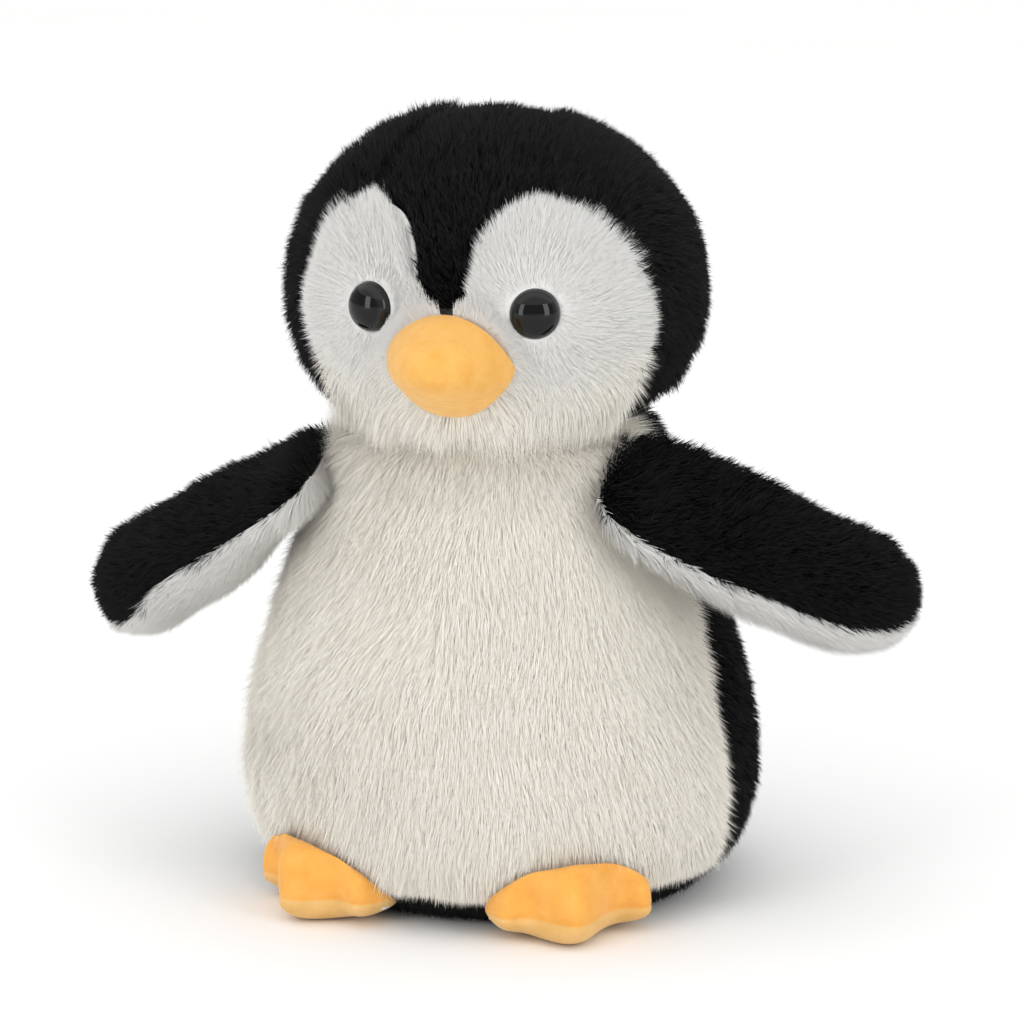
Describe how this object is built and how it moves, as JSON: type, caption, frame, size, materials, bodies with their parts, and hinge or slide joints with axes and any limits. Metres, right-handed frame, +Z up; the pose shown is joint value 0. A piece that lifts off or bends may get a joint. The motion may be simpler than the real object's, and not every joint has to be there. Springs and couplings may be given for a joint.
{
  "type": "plush penguin",
  "caption": "Standing stuffed penguin with a round black and white fur head, pear-shaped body, spread flippers, orange beak and lobed orange feet.",
  "frame": {"origin": "centre of the base panel's flat resting face", "axes": "+Z up, the toy faces -Y, its own left side is +X"},
  "size_m": [0.2073, 0.1398, 0.1893],
  "materials": {
    "black_pile": "short black faux fur",
    "white_pile": "long ivory faux fur",
    "orange_velboa": "short pile velboa",
    "fibre_filling": "polyester fibre",
    "pouch_cloth": "plain woven",
    "label_tape": "satin tape",
    "eye_plastic": "gloss",
    "washer_plastic": "matte"
  },
  "bodies": {
    "body": {"base_panel": "black_pile", "belly_panel": "white_pile", "back_panel_left": "black_pile", "back_panel_right": "black_pile", "body_filling": "fibre_filling", "pellet_pouch": "pouch_cloth", "care_label": "label_tape"},
    "head": {"face_patch_left": "white_pile", "face_patch_right": "white_pile", "side_panel_left": "black_pile", "side_panel_right": "black_pile", "crown_gusset": "black_pile", "head_filling": "fibre_filling", "beak_upper": "orange_velboa", "beak_lower": "orange_velboa", "beak_filling": "fibre_filling", "eye_left": "eye_plastic", "eye_right": "eye_plastic", "eye_washer_left": "washer_plastic", "eye_washer_right": "washer_plastic"},
    "flipper_left": {"flipper_top_left": "black_pile", "flipper_under_left": "white_pile", "flipper_filling_left": "fibre_filling"},
    "flipper_right": {"flipper_top_right": "black_pile", "flipper_under_right": "white_pile", "flipper_filling_right": "fibre_filling"},
    "foot_left": {"foot_top_left": "orange_velboa", "foot_sole_left": "orange_velboa", "foot_filling_left": "fibre_filling"},
    "foot_right": {"foot_top_right": "orange_velboa", "foot_sole_right": "orange_velboa", "foot_filling_right": "fibre_filling"}
  },
  "joints": [
    {"name": "head_nod", "type": "hinge", "parent": "body", "child": "head", "pos_m": [0, -0.005, 0.147], "axis": [1, 0, 0], "range_deg": [-8, 8], "stiffness_Nm_per_rad": 0.6},
    {"name": "flipper_left_raise", "type": "hinge", "parent": "body", "child": "flipper_left", "pos_m": [0.0362, -0.0278, 0.1046], "axis": [-0.051, -0.8151, -0.5771], "range_deg": [-15, 35], "stiffness_Nm_per_rad": 0.12},
    {"name": "flipper_right_raise", "type": "hinge", "parent": "body", "child": "flipper_right", "pos_m": [-0.0391, -0.0271, 0.1044], "axis": [-0.013, 0.9317, 0.3629], "range_deg": [-12, 35], "stiffness_Nm_per_rad": 0.12},
    {"name": "foot_left_flex", "type": "hinge", "parent": "body", "child": "foot_left", "pos_m": [0.02677, -0.04044, 0.0025], "axis": [-0.8339, -0.5519, 0], "range_deg": [0, 8], "stiffness_Nm_per_rad": 0.15},
    {"name": "foot_right_flex", "type": "hinge", "parent": "body", "child": "foot_right", "pos_m": [-0.02677, -0.04044, 0.0025], "axis": [-0.8339, 0.5519, 0], "range_deg": [0, 8], "stiffness_Nm_per_rad": 0.15}
  ]
}
